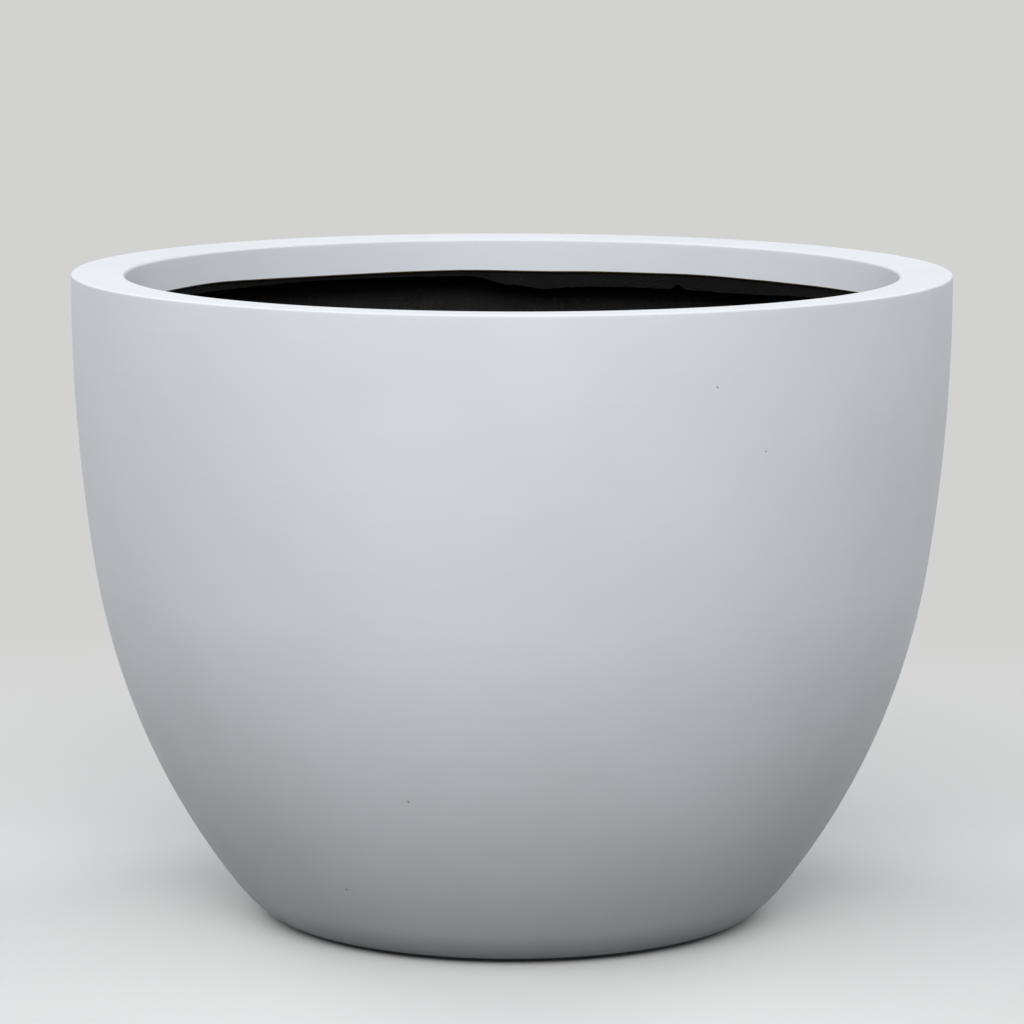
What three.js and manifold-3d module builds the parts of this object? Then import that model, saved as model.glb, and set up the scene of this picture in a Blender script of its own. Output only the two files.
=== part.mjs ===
// A large round bowl planter in glass-reinforced polyester, 800 mm across its rim.
// Millimetres, +Z up, with the origin on the ground under the middle of the base.
import * as THREE from "three";
import { mergeVertices } from "three/addons/utils/BufferGeometryUtils.js";
import Module from "manifold-3d";

const wasm = await Module();
wasm.setup();

// ---------------------------------------------------------------------------------------------
// Driving dimensions
// ---------------------------------------------------------------------------------------------

// The bowl's outside is a chain of arcs, each running smoothly into the next, from the flat base up
// to the rim. A slope is the wall's angle to the ground in degrees where one arc hands over to the
// next. The belly's arc has no radius of its own here: it takes up the height that the others leave.
const rimRadius = 400;
const bodyHeight = 588;
const cornerRadius = 16;
const cornerSlope = 36.2;
const heelRadius = 130;
const heelSlope = 52.4;
const bellySlope = 81.1;
const sideRadius = 1607;
const sideSlope = 90.75;
const shellWall = 4;

// The rim is a flat ring laid on the shell's top edge. It falls a little towards the middle and
// turns down into a short lip.
const rimWidth = 48;
const rimWall = 5;
const rimFall = 2.2;
const rimEdgeRound = 1.8;
const lipRound = 2.4;
const lipWall = 3.5;
const lipDepth = 33.5;
const lipBevel = 1;

// The strip of laminate that ties rim and shell together on the inside: down the wall, under the
// rim, and down the back of the lip until it shows below it.
const tapeWall = 2;
const tapeDownWall = 60;
const tapeBelowLip = 13;

// Base core and black inner skin.
const boardThickness = 12;
const skinWall = 1.5;

// Drains: a flanged sleeve through the base, closed by a rubber plug that lifts out. The first one
// stands at this many degrees from +X, and so does the first foot below.
const drainCount = 3;
const drainFirstAngle = 90;
const drainFromBaseEdge = 110;
const drainRadius = 11;
const bushWall = 3;
const bushFlangeRadius = 20;
const bushFlangeThickness = 2;
const plugFlangeRadius = 15;
const plugFlangeThickness = 3;
const plugRecess = 2;
const plugBevel = 1.5;
const plugHollowRadius = 6.5;
const plugHollowDepth = 11;
const plugKnobRadius = 5;
const plugKnobNeckRadius = 3.5;
const plugKnobHeight = 10;

// Feet: rubber pads, each held by a countersunk screw into the base core.
const footCount = 4;
const footFirstAngle = 45;
const footFromBaseEdge = 46;
const footRadius = 22;
const footThickness = 4;
const footBevel = 0.8;
const screwRadius = 2;
const screwHeadRadius = 4;
const screwHeadHeight = 2.2;
const screwHeadRecess = 0.8;
const screwLength = 15;
const screwTip = 3;
const screwSocketRadius = 1.5;
const screwSocketDepth = 1.2;
const screwSocketSides = 6;

// Room left between two pieces that meet on a curved face or in a hole. Flat faces touch.
const fitGap = 0.3;

// How closely the facets follow the curves: how deep a facet may lie inside its arc, and the number of
// flats round the bowl and round the small fittings.
const facetDepth = 0.6;
const bowlFlats = 60;
const fittingFlats = 16;
const screwFlats = 10;
const roundSteps = 3;

// Points of a solid that lie nearer to each other than this are one point.
const weldDistance = 1e-3;

// ---------------------------------------------------------------------------------------------
// Heights and radii that follow from them
// ---------------------------------------------------------------------------------------------

const bowlBottom = footThickness;
const rimTop = bowlBottom + bodyHeight;
const shellTop = rimTop - rimWall;
const lipRadius = rimRadius - rimWidth;
const lipBottom = rimTop - lipDepth;
const coreBottom = bowlBottom + shellWall;
const coreTop = coreBottom + boardThickness;
const skinFloor = coreTop + skinWall;
const drainSeat = skinFloor + bushFlangeThickness;
const bushRadius = drainRadius + bushWall;
const skinTop = shellTop - tapeDownWall - fitGap;

const radians = THREE.MathUtils.degToRad;
const at = (radius, height) => new THREE.Vector2(radius, height);

// How far an arc climbs, and how far it reaches outwards, between two slopes.
const climb = (radius, from, to) => radius * (Math.cos(radians(from)) - Math.cos(radians(to)));
const reach = (radius, from, to) => radius * (Math.sin(radians(to)) - Math.sin(radians(from)));

const bellyClimb = bodyHeight
  - climb(cornerRadius, 0, cornerSlope)
  - climb(heelRadius, cornerSlope, heelSlope)
  - climb(sideRadius, bellySlope, sideSlope);
const bellyRadius = bellyClimb / climb(1, heelSlope, bellySlope);

const wallArcs = [
  { radius: cornerRadius, from: 0, to: cornerSlope },
  { radius: heelRadius, from: cornerSlope, to: heelSlope },
  { radius: bellyRadius, from: heelSlope, to: bellySlope },
  { radius: sideRadius, from: bellySlope, to: sideSlope },
];
const baseRadius = wallArcs.reduce((left, arc) => left - reach(arc.radius, arc.from, arc.to), rimRadius);

// ---------------------------------------------------------------------------------------------
// Outlines
// ---------------------------------------------------------------------------------------------

// The bowl's outline at a depth inside its outer face, from the edge of the flat base to the rim.
// Every depth has its points at the same slopes, so two layers stay evenly apart.
function wallLine(depth) {
  const line = [at(baseRadius, bowlBottom + depth)];
  let foot = at(baseRadius, bowlBottom);
  for (const { radius, from, to } of wallArcs) {
    const start = at(Math.sin(radians(from)), -Math.cos(radians(from)));
    const centre = foot.clone().addScaledVector(start, -radius);
    const steps = Math.ceil(radians(to - from) / Math.sqrt((8 * facetDepth) / radius));
    for (let i = 1; i <= steps; i++) {
      const slope = radians(from + ((to - from) * i) / steps);
      const outwards = at(Math.sin(slope), -Math.cos(slope));
      line.push(centre.clone().addScaledVector(outwards, radius - depth));
      foot = centre.clone().addScaledVector(outwards, radius);
    }
  }
  return line;
}

// The radius of a rising line at a height.
function radiusAt(line, height) {
  const above = line.findIndex((point) => point.y > height);
  const upper = above < 1 ? line.length - 1 : above;
  const [low, high] = [line[upper - 1], line[upper]];
  return low.x + ((high.x - low.x) * (height - low.y)) / (high.y - low.y);
}

// The stretch of a rising line between two heights.
function stretch(line, bottom, top) {
  const between = line.filter((point) => point.y > bottom && point.y < top);
  return [at(radiusAt(line, bottom), bottom), ...between, at(radiusAt(line, top), top)];
}

// An outline's corner with a radius, as points along its arc.
function roundCorner(before, corner, after, radius) {
  const back = before.clone().sub(corner).normalize();
  const on = after.clone().sub(corner).normalize();
  const half = Math.acos(back.dot(on)) / 2;
  const inwards = back.clone().add(on).normalize();
  const centre = corner.clone().addScaledVector(inwards, radius / Math.sin(half));
  const start = corner.clone().addScaledVector(back, radius / Math.tan(half)).sub(centre);
  const end = corner.clone().addScaledVector(on, radius / Math.tan(half)).sub(centre);
  const turn = Math.atan2(start.x * end.y - start.y * end.x, start.dot(end));
  const points = [];
  for (let i = 0; i <= roundSteps; i++) {
    points.push(start.clone().rotateAround(at(0, 0), (turn * i) / roundSteps).add(centre));
  }
  return points;
}

const closed = (outline) => [...outline, outline[0].clone()];
const revolve = (outline, flats) => new THREE.LatheGeometry(outline, flats).rotateX(Math.PI / 2);

// ---------------------------------------------------------------------------------------------
// Cutting
// ---------------------------------------------------------------------------------------------

function toSolid(geometry) {
  const bare = geometry.clone();
  bare.deleteAttribute("normal");
  bare.deleteAttribute("uv");
  const merged = mergeVertices(bare, weldDistance);
  const vertProperties = merged.getAttribute("position").array;
  const triVerts = new Uint32Array(merged.index.array);
  return new wasm.Manifold(new wasm.Mesh({ numProp: 3, vertProperties, triVerts }));
}

function cut(geometry, cutters) {
  const left = cutters.reduce((solid, cutter) => solid.subtract(toSolid(cutter)), toSolid(geometry));
  const { vertProperties, triVerts } = left.getMesh();
  const result = new THREE.BufferGeometry();
  result.setAttribute("position", new THREE.BufferAttribute(vertProperties, 3));
  result.setIndex(new THREE.BufferAttribute(triVerts, 1));
  result.computeVertexNormals();
  return result;
}

// Points spaced evenly on a circle about the bowl's axis.
function ringOfPoints(count, radius, firstAngle) {
  return Array.from({ length: count }, (_, i) => {
    const angle = radians(firstAngle + (360 * i) / count);
    return at(radius * Math.cos(angle), radius * Math.sin(angle));
  });
}

const drainPlaces = ringOfPoints(drainCount, baseRadius - drainFromBaseEdge, drainFirstAngle);
const footPlaces = ringOfPoints(footCount, baseRadius - footFromBaseEdge, footFirstAngle);

// Round cutters standing at places on the base, between two heights.
function drills(places, radius, bottom, top, flats) {
  return places.map((place) => {
    const drill = new THREE.CylinderGeometry(radius, radius, top - bottom, flats);
    return drill.rotateX(Math.PI / 2).translate(place.x, place.y, (top + bottom) / 2);
  });
}

// Holes for the drain sleeves through all layers of the base, and for the feet's screws from below
// up to just past their tips.
const drainHoles = () =>
  drills(drainPlaces, bushRadius + fitGap, bowlBottom - shellWall, skinFloor + skinWall, fittingFlats);
const screwHoles = () =>
  drills(footPlaces, screwRadius + fitGap, 0, screwHeadRecess + screwLength + fitGap, screwFlats);

// ---------------------------------------------------------------------------------------------
// Materials
// ---------------------------------------------------------------------------------------------

const whitePaint = { color: 0xdfe2e6, roughness: 0.42, metalness: 0 };
const blackResin = { color: 0x161614, roughness: 0.7, metalness: 0 };
const plywood = { color: 0xb08a5c, roughness: 0.8, metalness: 0 };
const greyPlastic = { color: 0x4a4c4e, roughness: 0.5, metalness: 0 };
const blackRubber = { color: 0x1c1c1d, roughness: 0.85, metalness: 0 };
const stainlessSteel = { color: 0xb4b6b8, roughness: 0.35, metalness: 1 };

function piece(name, geometry, finish) {
  const mesh = new THREE.Mesh(geometry, new THREE.MeshStandardMaterial(finish));
  mesh.name = name;
  return mesh;
}

// ---------------------------------------------------------------------------------------------
// The bowl
// ---------------------------------------------------------------------------------------------

// The bowl itself, one even laminate from the base to just under the rim.
function outerShell() {
  const outside = stretch(wallLine(0), bowlBottom, shellTop);
  const inside = stretch(wallLine(shellWall), coreBottom, shellTop).reverse();
  const outline = [at(0, bowlBottom), ...outside, ...inside, at(0, coreBottom)];
  const solid = cut(revolve(outline, bowlFlats), [...drainHoles(), ...screwHoles()]);
  return piece("outer_shell", solid, whitePaint);
}

// The radius inside the shell's top edge and behind the lip, and the height of the rim's top face and
// of its underside at a radius.
const shellInside = radiusAt(wallLine(shellWall), shellTop);
const lipBack = lipRadius + lipWall;
const landHeight = (radius) => rimTop - (rimRadius - radius) * Math.tan(radians(rimFall));
const underLand = (radius) => shellTop - (shellInside - radius) * Math.tan(radians(rimFall));

// The rim: its outer foot stands on the shell's top edge, and its lip hangs inside the mouth.
function rimRing() {
  const foot = at(radiusAt(wallLine(0), shellTop), shellTop);
  const outerEdge = at(rimRadius, rimTop);
  const innerEdge = at(lipRadius, landHeight(lipRadius));
  const lipFoot = at(lipRadius, lipBottom + lipBevel);
  const outline = closed([
    foot,
    ...roundCorner(foot, outerEdge, innerEdge, rimEdgeRound),
    ...roundCorner(outerEdge, innerEdge, lipFoot, lipRound),
    lipFoot,
    at(lipRadius + lipBevel, lipBottom),
    at(lipBack, lipBottom),
    at(lipBack, underLand(lipBack)),
    at(shellInside, shellTop),
  ]);
  return piece("rim_ring", revolve(outline, bowlFlats), whitePaint);
}

// The bonding strip, a channel of laminate upside down in the space between lip and wall.
function rimTape() {
  const [outerTop, innerTop] = [shellTop - fitGap, shellTop - fitGap - tapeWall];
  const outerWall = stretch(wallLine(shellWall + fitGap), skinTop + fitGap, outerTop);
  const innerWall = stretch(wallLine(shellWall + fitGap + tapeWall), skinTop + fitGap, innerTop);
  const outerLip = lipBack + fitGap;
  const innerLip = outerLip + tapeWall;
  const hem = lipBottom - tapeBelowLip;
  const outline = closed([
    ...outerWall,
    at(outerLip, underLand(outerLip) - fitGap),
    at(outerLip, hem),
    at(innerLip, hem),
    at(innerLip, underLand(innerLip) - fitGap - tapeWall),
    ...innerWall.reverse(),
  ]);
  return piece("rim_joint_tape", revolve(outline, bowlFlats), blackResin);
}

// The core that stiffens the flat base, its edge shaped to the bowl.
function baseBoard() {
  const edge = stretch(wallLine(shellWall + fitGap), coreBottom + fitGap, coreTop);
  const outline = [at(0, coreBottom), at(edge[0].x, coreBottom), ...edge, at(0, coreTop)];
  const solid = cut(revolve(outline, bowlFlats), [...drainHoles(), ...screwHoles()]);
  return piece("base_board", solid, plywood);
}

// The black inner skin that keeps water off the core and the joint.
function innerSkin() {
  const outside = stretch(wallLine(shellWall + fitGap), coreTop, skinTop);
  const inside = stretch(wallLine(shellWall + fitGap + skinWall), skinFloor, skinTop).reverse();
  const outline = [at(0, coreTop), ...outside, ...inside, at(0, skinFloor)];
  const solid = cut(revolve(outline, bowlFlats), drainHoles());
  return piece("inner_skin", solid, blackResin);
}

// ---------------------------------------------------------------------------------------------
// Drains
// ---------------------------------------------------------------------------------------------

// A sleeve from the bowl's underside up through the base, with a flange on the inner floor.
function drainBush(name, place) {
  const outline = closed([
    at(drainRadius, bowlBottom),
    at(bushRadius, bowlBottom),
    at(bushRadius, skinFloor),
    at(bushFlangeRadius, skinFloor),
    at(bushFlangeRadius, drainSeat),
    at(drainRadius, drainSeat),
  ]);
  const bush = piece(name, revolve(outline, fittingFlats), greyPlastic);
  bush.position.set(place.x, place.y, 0);
  return bush;
}

// A hollow rubber plug that sits in the sleeve, with a knob to pull it by.
function drainPlug(name, place) {
  const stem = drainRadius - fitGap;
  const stemBottom = bowlBottom + plugRecess;
  const flangeTop = drainSeat + plugFlangeThickness;
  const knobTop = flangeTop + plugKnobHeight;
  const outline = [
    at(0, stemBottom + plugHollowDepth),
    at(plugHollowRadius, stemBottom + plugHollowDepth),
    at(plugHollowRadius, stemBottom),
    at(stem - plugBevel, stemBottom),
    at(stem, stemBottom + plugBevel),
    at(stem, drainSeat),
    at(plugFlangeRadius, drainSeat),
    at(plugFlangeRadius, flangeTop),
    at(plugKnobNeckRadius, flangeTop),
    at(plugKnobNeckRadius, knobTop - plugKnobRadius),
    at(plugKnobRadius, knobTop - plugKnobRadius),
    at(plugKnobRadius, knobTop - plugBevel),
    at(plugKnobRadius - plugBevel, knobTop),
    at(0, knobTop),
  ];
  const plug = piece(name, revolve(outline, fittingFlats), blackRubber);
  plug.position.set(place.x, place.y, 0);
  return plug;
}

// ---------------------------------------------------------------------------------------------
// Feet
// ---------------------------------------------------------------------------------------------

const headTop = screwHeadRecess + screwHeadHeight;

// A round pad with a countersunk hole.
function footPad(name, place) {
  const hole = screwRadius + fitGap;
  const sink = screwHeadRadius + fitGap;
  const outline = closed([
    at(sink, 0),
    at(footRadius - footBevel, 0),
    at(footRadius, footBevel),
    at(footRadius, footThickness),
    at(hole, footThickness),
    at(hole, headTop),
    at(sink, screwHeadRecess),
  ]);
  const pad = piece(name, revolve(outline, fittingFlats), blackRubber);
  pad.position.set(place.x, place.y, 0);
  return pad;
}

// A countersunk screw, head down, with a hexagon socket.
function footScrew(name, place) {
  const tip = screwHeadRecess + screwLength;
  const outline = [
    at(0, screwHeadRecess),
    at(screwHeadRadius, screwHeadRecess),
    at(screwRadius, headTop),
    at(screwRadius, tip - screwTip),
    at(0, tip),
  ];
  const socketTop = screwHeadRecess + screwSocketDepth;
  const socket = drills([at(0, 0)], screwSocketRadius, -screwHeadRecess, socketTop, screwSocketSides);
  const screw = piece(name, cut(revolve(outline, screwFlats), socket), stainlessSteel);
  screw.position.set(place.x, place.y, 0);
  return screw;
}

// ---------------------------------------------------------------------------------------------
// The planter
// ---------------------------------------------------------------------------------------------

const planter = new THREE.Group();
planter.add(outerShell(), rimRing(), rimTape(), baseBoard(), innerSkin());
drainPlaces.forEach((place, i) => {
  planter.add(drainBush(`drain_bush_${i + 1}`, place), drainPlug(`drain_plug_${i + 1}`, place));
});
footPlaces.forEach((place, i) => {
  planter.add(footPad(`foot_pad_${i + 1}`, place), footScrew(`foot_screw_${i + 1}`, place));
});

export default planter;
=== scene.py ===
"""A large round bowl planter in painted glass-fibre laminate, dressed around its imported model.

The file is laid out as an add-on. Sizes and colours are properties, each piece or group of like pieces
has an operator, and a panel lists them. Everything is in metres, with +Z up.
"""

import math

import bpy
from mathutils import Matrix, Vector


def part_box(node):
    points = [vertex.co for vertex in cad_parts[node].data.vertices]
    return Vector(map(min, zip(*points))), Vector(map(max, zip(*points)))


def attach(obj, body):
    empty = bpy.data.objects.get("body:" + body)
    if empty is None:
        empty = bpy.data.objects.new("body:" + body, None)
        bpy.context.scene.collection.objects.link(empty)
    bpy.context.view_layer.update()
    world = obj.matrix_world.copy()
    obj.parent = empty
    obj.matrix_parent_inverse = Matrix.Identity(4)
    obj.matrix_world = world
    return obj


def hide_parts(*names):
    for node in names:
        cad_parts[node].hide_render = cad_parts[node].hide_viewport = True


bl_info = {
    "name": "Bowl Planter",
    "version": (1, 0, 0),
    "blender": (4, 5, 0),
    "location": "View3D > Sidebar > Planter",
    "description": "Models and finishes a round bowl planter in painted glass-fibre laminate",
    "category": "Object",
}

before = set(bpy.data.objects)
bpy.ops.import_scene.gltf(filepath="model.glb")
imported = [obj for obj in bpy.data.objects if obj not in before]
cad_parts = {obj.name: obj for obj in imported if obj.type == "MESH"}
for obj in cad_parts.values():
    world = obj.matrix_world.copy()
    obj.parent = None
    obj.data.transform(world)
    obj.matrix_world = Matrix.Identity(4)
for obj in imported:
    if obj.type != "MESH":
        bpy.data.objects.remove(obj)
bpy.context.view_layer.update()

MM = 0.001
FULL_TURN = 2.0 * math.pi
DRAINS = sorted(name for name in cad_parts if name.startswith("drain_bush"))
FEET = sorted(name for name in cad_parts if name.startswith("foot_pad"))


def heights(node):
    """The heights of a CAD node's underside and top."""
    low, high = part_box(node)
    return low.z, high.z


def place_of(node):
    """The middle of a CAD node, seen from above."""
    low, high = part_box(node)
    return (low.x + high.x) / 2.0, (low.y + high.y) / 2.0


def radius_of(node):
    """The radius of a round CAD node."""
    low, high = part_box(node)
    return (high.x - low.x) / 2.0


BOWL_BOTTOM, SHELL_TOP = heights("outer_shell")
CORE_BOTTOM, CORE_TOP = heights("base_board")
SKIN_TOP = heights("inner_skin")[1]
TAPE_LOW, TAPE_HIGH = heights("rim_joint_tape")
LIP_BOTTOM = heights("rim_ring")[0]
BUSH_HIGH = heights("drain_bush_1")[1]
PLUG_LOW, PLUG_HIGH = heights("drain_plug_1")
PAD_TOP = heights("foot_pad_1")[1]
SCREW_LOW, SCREW_HIGH = heights("foot_screw_1")

# Room between two laminates, or round a fitting in its hole.
FIT_GAP = 0.3 * MM

# Fineness of the meshes: steps in a full turn, lengths of a step along the wall and along the floor,
# and steps in a round, for most rounds and for the smallest.
BOWL_TURN = 256
HEM_TURN = 640
FITTING_TURN = 64
WALL_STEP = 10.0 * MM
FLOOR_STEP = 12.0 * MM
ROUND_STEPS = 8
SMALL_ROUND_STEPS = 3
WELD = 0.002 * MM
SHARP_EDGE = math.radians(32.0)


# ----------------------------------------------------------------------------------------------
# Sizes and colours
# ----------------------------------------------------------------------------------------------


def linear(hex_code):
    """An sRGB hex colour as linear RGBA."""
    parts = [int(hex_code[i : i + 2], 16) / 255.0 for i in (1, 3, 5)]
    return tuple(c / 12.92 if c <= 0.04045 else ((c + 0.055) / 1.055) ** 2.4 for c in parts) + (1.0,)


def length(name, description, millimetres):
    """A length property, given in millimetres."""
    return bpy.props.FloatProperty(
        name=name, description=description, default=millimetres * MM, min=0.0, unit="LENGTH", precision=4
    )


def angle(name, description, degrees):
    """An angle property, given in degrees."""
    return bpy.props.FloatProperty(
        name=name, description=description, default=math.radians(degrees), subtype="ANGLE"
    )


def colour(name, description, hex_code):
    """A colour property, given as an sRGB hex colour."""
    rgba = linear(hex_code)
    return bpy.props.FloatVectorProperty(
        name=name, description=description, default=rgba, size=4, min=0.0, max=1.0, subtype="COLOR"
    )


def power(name, watts):
    """The power of a light, in watts."""
    return bpy.props.FloatProperty(
        name=name, description=f"Power of the {name.lower()}", default=watts, min=0.0, unit="POWER"
    )


class PlanterBowl(bpy.types.PropertyGroup):
    """The bowl's outside, a chain of arcs from the flat base up to the rim, and its laminates."""

    rim_radius: length("Rim radius", "Outside of the rim before its edge is rounded", 400.0)
    height: length("Height", "From the bowl's underside to the rim's outer edge", 588.0)
    corner_radius: length("Corner radius", "Arc from the flat base into the foot of the wall", 16.0)
    corner_slope: angle("Corner slope", "Slope of the wall where the corner's arc ends", 36.2)
    heel_radius: length("Heel radius", "Arc between the corner and the belly", 130.0)
    heel_slope: angle("Heel slope", "Slope of the wall where the belly begins", 52.4)
    belly_slope: angle("Belly slope", "Slope of the wall where the belly ends", 81.1)
    side_radius: length("Side radius", "Arc of the nearly upright sides", 1607.0)
    side_slope: angle("Side slope", "Slope of the wall at the rim, a little past upright", 90.75)
    shell_wall: length("Shell wall", "Thickness of the outer laminate", 4.0)
    skin_wall: length("Skin wall", "Thickness of the black inner laminate", 1.5)

    def arcs(self):
        """(radius, lower slope, upper slope) of each arc; the belly takes the height that is left."""
        corner = (self.corner_radius, 0.0, self.corner_slope)
        heel = (self.heel_radius, self.corner_slope, self.heel_slope)
        side = (self.side_radius, self.belly_slope, self.side_slope)
        climbed = sum(r * (math.cos(low) - math.cos(high)) for r, low, high in (corner, heel, side))
        belly_radius = (self.height - climbed) / (math.cos(self.heel_slope) - math.cos(self.belly_slope))
        return [corner, heel, (belly_radius, self.heel_slope, self.belly_slope), side]


class PlanterRim(bpy.types.PropertyGroup):
    """The flat rim, its turned-down lip, and the laminate that bonds it to the bowl."""

    width: length("Rim width", "From the outer edge to the face of the lip", 48.0)
    fall: angle("Fall", "How the rim's top slopes down towards the middle", 2.2)
    edge_round: length("Outer edge round", "Radius of the outer edge", 1.8)
    lip_round: length("Inner edge round", "Radius where the rim turns down into the lip", 2.4)
    lip_wall: length("Lip wall", "Thickness of the lip", 3.5)
    lip_bevel: length("Trimmed edge", "Bevel that the trimming leaves on the lip's lower edge", 1.0)
    lip_wave: length("Lip wave", "How far the hand-trimmed edge wanders up and down", 2.2)
    tape_wall: length("Bonding laminate", "Thickness of the strip inside the joint", 2.0)
    hem_depth: length("Hem", "Deepest that the bonding laminate hangs below the lip", 18.0)
    hem_fray: length("Hem fray", "Roughness of the strip's torn lower edge", 2.0)


class PlanterFittings(bpy.types.PropertyGroup):
    """Drain sleeves, plugs, feet and their screws."""

    drain_radius: length("Drain radius", "Bore of a drain sleeve", 11.0)
    bush_wall: length("Sleeve wall", "Wall of a drain sleeve", 3.0)
    bush_flange: length("Sleeve flange", "Thickness of the flange on the inner floor", 2.0)
    plug_flange: length("Plug flange", "Thickness of a plug's flange", 3.0)
    plug_flange_radius: length("Plug flange radius", "Radius of a plug's flange", 15.0)
    plug_hollow_radius: length("Plug hollow radius", "Radius of the hollow in a plug", 6.5)
    plug_hollow_depth: length("Plug hollow depth", "Depth of the hollow in a plug", 11.0)
    knob_radius: length("Knob radius", "Radius of the knob that a plug is pulled by", 5.0)
    knob_neck: length("Knob neck", "Radius of the neck under the knob", 3.5)
    screw_radius: length("Screw radius", "Shank of a foot's screw", 2.0)
    screw_head: length("Screw head radius", "Radius of the countersunk head", 4.0)
    screw_head_height: length("Screw head height", "Height of the countersunk head", 2.2)
    screw_socket: length("Screw socket", "Radius of the hexagon socket", 1.5)

    def drain_hole(self):
        """Radius of the hole that a drain sleeve goes through."""
        return self.drain_radius + self.bush_wall + FIT_GAP

    def screw_hole(self):
        """Radius of the hole that a foot's screw goes through."""
        return self.screw_radius + FIT_GAP


class PlanterColours(bpy.types.PropertyGroup):
    """Colours of the finishes."""

    paint: colour("Paint", "Cool white top coat", "#E3E6EA")
    paint_shade: colour("Paint shade", "The same coat where it is thinner or a little soiled", "#D8DBDD")
    speck: colour("Speck", "Grit caught in the paint", "#6F6A62")
    trimmed_edge: colour("Trimmed edge", "Bare laminate where the lip was cut", "#8C7650")
    coating: colour("Coating", "Black resin coat on the inside", "#1E1E1D")
    # Painted shade: a darker black for the coat at the rim, under the lip.
    coating_painted_shade_at_rim: colour("Coating, painted shade", "Painted shade at the rim, under the lip", "#0B0B0B")
    coating_worn: colour("Coating, thin", "Where strands show through it", "#302F2D")
    nylon: colour("Sleeve", "Grey nylon", "#4A4C4E")
    rubber: colour("Rubber", "Black rubber", "#1D1D1E")
    rubber_dust: colour("Rubber dust", "Pale bloom on the rubber", "#4A4946")
    steel: colour("Steel", "Stainless steel", "#B9BABC")
    ply_light: colour("Plywood, light", "Early wood of the birch face", "#C9A878")
    ply_dark: colour("Plywood, dark", "Late wood of the birch face", "#A37C4C")


class PlanterStudio(bpy.types.PropertyGroup):
    """Camera, floor and light."""

    camera_distance: length("Camera distance", "From the lens to the bowl's axis", 4000.0)
    camera_height: length("Camera height", "Above the floor", 963.0)
    camera_side: length("Camera offset", "To the right of the bowl's axis", 0.5)
    camera_tilt: angle("Camera tilt", "Down from level", 8.445)
    camera_roll: angle("Camera roll", "How far the camera leans", 0.12)
    lens: bpy.props.FloatProperty(name="Lens", description="Focal length", default=154.7, unit="CAMERA")
    floor: colour("Floor", "What the camera sees of the floor", "#DCDCDA")
    floor_bounce: colour("Floor bounce", "How the floor lights the bowl from below", "#4E4C4A")
    backdrop: colour("Backdrop", "What the camera sees past the floor", "#D2D2D0")
    sky: colour("Sky", "Soft light from all round", "#DCE4F0")
    sky_strength: bpy.props.FloatProperty(
        name="Sky strength", description="How strong the light from all round is", default=0.35
    )
    light_distance: length("Light distance", "From the middle of the bowl to each soft light", 6000.0)
    light_size: length("Light size", "Side of each square soft light", 3000.0)
    light_climb: angle("Light climb", "How high the soft lights stand above level", 35.0)
    front_power: power("Front light", 177.0)
    front_left_power: power("Front left light", 67.0)
    front_right_power: power("Front right light", 49.0)
    left_power: power("Left light", 60.0)
    right_power: power("Right light", 38.0)
    back_power: power("Back lights", 95.0)


# ----------------------------------------------------------------------------------------------
# Outlines: points (radius, height) in the half-plane to the right of the bowl's axis
# ----------------------------------------------------------------------------------------------


def point(radius, height):
    """A point of an outline."""
    return Vector((radius, height))


def outwards(slope):
    """Outward direction of a wall with this slope to the ground."""
    return Vector((math.sin(slope), -math.cos(slope)))


def radius_at(line, height):
    """The radius of a rising line at a height."""
    upper = next((i for i, p in enumerate(line) if p.y > height), len(line) - 1)
    low, high = line[max(upper, 1) - 1], line[max(upper, 1)]
    return low.x + (high.x - low.x) * (height - low.y) / (high.y - low.y)


def wall_line(depth, bottom, top):
    """The wall's outline at a depth inside its outer face, between two heights."""
    bowl = bpy.context.scene.planter_bowl
    reach = sum(r * (math.sin(high) - math.sin(low)) for r, low, high in bowl.arcs())
    foot = point(bowl.rim_radius - reach, BOWL_BOTTOM)
    line = [foot + point(0.0, depth)]
    for radius, low, high in bowl.arcs():
        centre = foot - radius * outwards(low)
        steps = max(ROUND_STEPS, math.ceil((high - low) * radius / WALL_STEP))
        for i in range(1, steps + 1):
            slope = low + (high - low) * i / steps
            line.append(centre + (radius - depth) * outwards(slope))
        foot = centre + radius * outwards(high)
    between = [p for p in line if bottom + WELD < p.y < top - WELD]
    return [point(radius_at(line, bottom), bottom), *between, point(radius_at(line, top), top)]


def floor_line(radius, height):
    """A level line from the axis outwards, short of its end."""
    steps = math.ceil(radius / FLOOR_STEP)
    return [point(radius * i / steps, height) for i in range(steps)]


def divided(start, end, parts):
    """Points that divide a straight stretch, without its ends."""
    return [start.lerp(end, i / parts) for i in range(1, parts)]


def round_corner(before, corner, after, radius, steps=ROUND_STEPS):
    """An outline's corner with a radius, as points along its arc."""
    back = (before - corner).normalized()
    on = (after - corner).normalized()
    half = back.angle(on) / 2.0
    centre = corner + (back + on).normalized() * radius / math.sin(half)
    start = corner + back * radius / math.tan(half) - centre
    end = corner + on * radius / math.tan(half) - centre
    turn = math.atan2(start.x * end.y - start.y * end.x, start.dot(end))
    points = []
    for i in range(steps + 1):
        c, s = math.cos(turn * i / steps), math.sin(turn * i / steps)
        points.append(centre + point(start.x * c - start.y * s, start.x * s + start.y * c))
    return points


def eased(corners, steps):
    """An outline from its corners, each (radius, height, round), where a round of 0 leaves it sharp."""
    sharp = [point(radius, height) for radius, height, _ in corners]
    outline = []
    for i, (_, _, edge_round) in enumerate(corners):
        before, after = sharp[i - 1], sharp[(i + 1) % len(sharp)]
        outline += round_corner(before, sharp[i], after, edge_round, steps) if edge_round else [sharp[i]]
    return outline


# ----------------------------------------------------------------------------------------------
# Modelling
# ----------------------------------------------------------------------------------------------


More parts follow.
